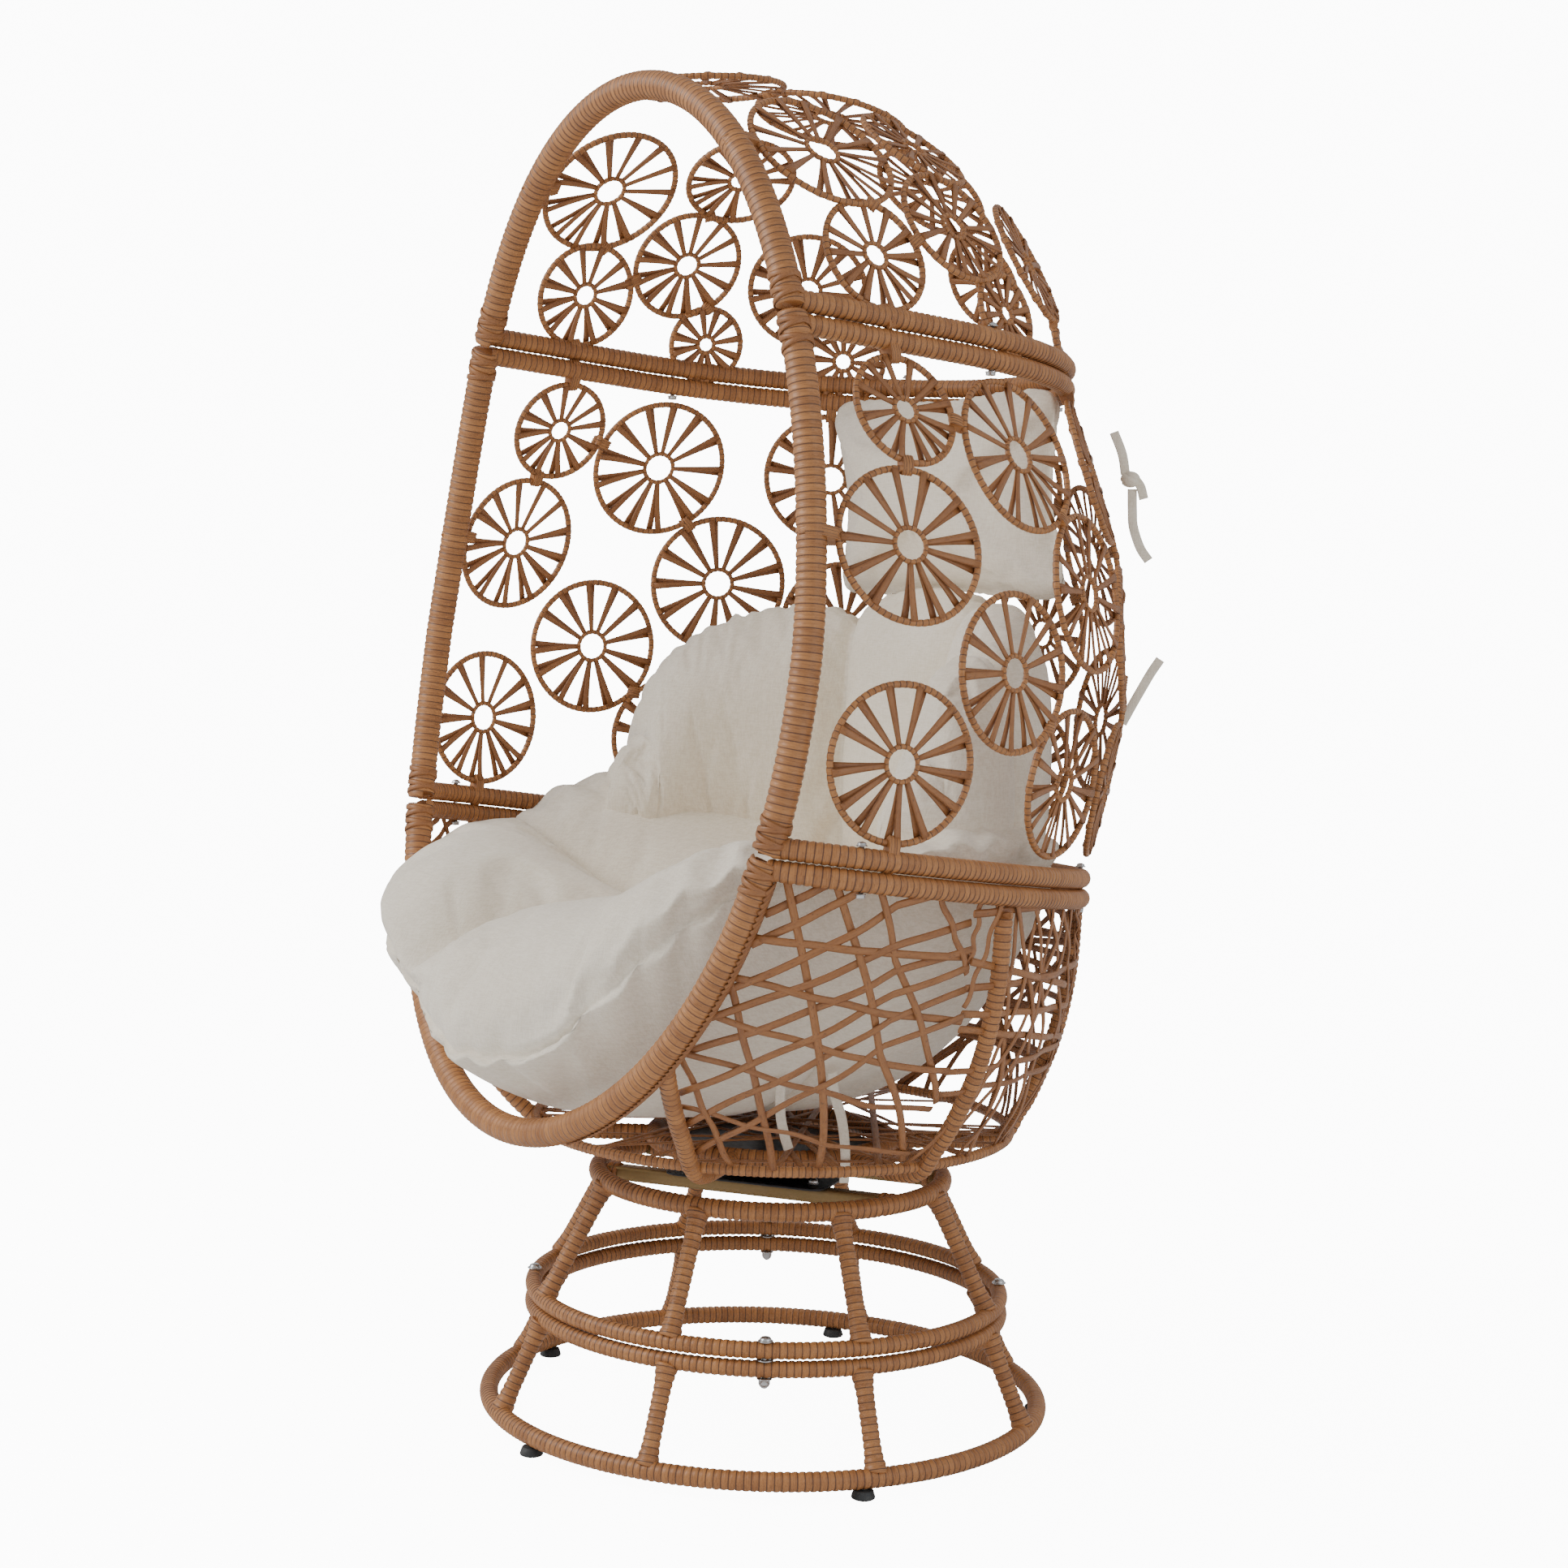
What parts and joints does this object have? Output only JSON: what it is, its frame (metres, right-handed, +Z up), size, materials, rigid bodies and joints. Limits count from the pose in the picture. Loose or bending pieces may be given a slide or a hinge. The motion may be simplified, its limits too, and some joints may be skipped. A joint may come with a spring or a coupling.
{
  "type": "egg chair",
  "caption": "Free-standing swivel egg chair: a wrapped three-section egg with wheel-pattern cane panels on a two-tier ring base, with a tufted cushion and head pillow.",
  "frame": {"origin": "on the floor under the swivel axis, the middle of the whole chair's plan", "axes": "+Z up along the swivel axis, the egg's mouth faces -Y, +X to the sitter's left"},
  "size_m": [0.9302, 0.8612, 1.6444],
  "materials": {
    "cane_wrap": "satin",
    "cane_strand": "satin",
    "canvas": "matte",
    "bronze_paint": "satin",
    "black_steel": "satin",
    "zinc": "bright",
    "foot_plastic": "matte"
  },
  "bodies": {
    "base": {"base_lower_tier": "cane_wrap", "base_upper_tier": "cane_wrap", "cross_bar_1": "bronze_paint", "cross_bar_2": "bronze_paint", "swivel_lower_plate": "black_steel", "tier_bolt_1": "zinc", "tier_bolt_2": "zinc", "tier_bolt_3": "zinc", "tier_bolt_4": "zinc", "tier_nut_1": "zinc", "tier_nut_2": "zinc", "tier_nut_3": "zinc", "tier_nut_4": "zinc", "plate_bolt_1": "zinc", "plate_bolt_2": "zinc", "plate_bolt_3": "zinc", "plate_bolt_4": "zinc"},
    "seat": {"swivel_drum": "black_steel", "basket_frame": "cane_wrap", "floor_frame": "cane_wrap", "basket_weave_right": "cane_strand", "basket_weave_back": "cane_strand", "basket_weave_left": "cane_strand", "floor_weave": "cane_strand", "middle_frame": "cane_wrap", "dome_frame": "cane_wrap", "middle_wheels_side_right": "cane_strand", "middle_wheels_side_left": "cane_strand", "middle_wheels_rear_right": "cane_strand", "middle_wheels_rear_left": "cane_strand", "dome_wheels_right": "cane_strand", "dome_wheels_left": "cane_strand", "dome_wheels_crown": "cane_strand", "low_joint_bolt_1": "zinc", "low_joint_bolt_2": "zinc", "low_joint_bolt_3": "zinc", "low_joint_bolt_4": "zinc", "high_joint_bolt_1": "zinc", "high_joint_bolt_2": "zinc", "high_joint_bolt_3": "zinc", "high_joint_bolt_4": "zinc", "seat_cushion": "canvas", "back_cushion": "canvas", "head_pillow": "canvas", "tie_floor_1": "canvas", "tie_floor_2": "canvas", "tie_pillow_tail": "canvas", "tie_back": "canvas", "tie_pillow_knot": "canvas"},
    "foot_1": {"levelling_foot_1": "foot_plastic"},
    "foot_2": {"levelling_foot_2": "foot_plastic"},
    "foot_3": {"levelling_foot_3": "foot_plastic"},
    "foot_4": {"levelling_foot_4": "foot_plastic"},
    "foot_5": {"levelling_foot_5": "foot_plastic"}
  },
  "joints": [
    {"name": "seat_swivel", "type": "hinge", "parent": "base", "child": "seat", "pos_m": [0, 0, 0.3158], "axis": [0, 0, 1], "continuous": true},
    {"name": "foot_1_screw", "type": "slide", "parent": "base", "child": "foot_1", "axis": [0, 0, -1], "range_m": [0, 0.008]},
    {"name": "foot_2_screw", "type": "slide", "parent": "base", "child": "foot_2", "axis": [0, 0, -1], "range_m": [0, 0.008]},
    {"name": "foot_3_screw", "type": "slide", "parent": "base", "child": "foot_3", "axis": [0, 0, -1], "range_m": [0, 0.008]},
    {"name": "foot_4_screw", "type": "slide", "parent": "base", "child": "foot_4", "axis": [0, 0, -1], "range_m": [0, 0.008]},
    {"name": "foot_5_screw", "type": "slide", "parent": "base", "child": "foot_5", "axis": [0, 0, -1], "range_m": [0, 0.008]}
  ]
}
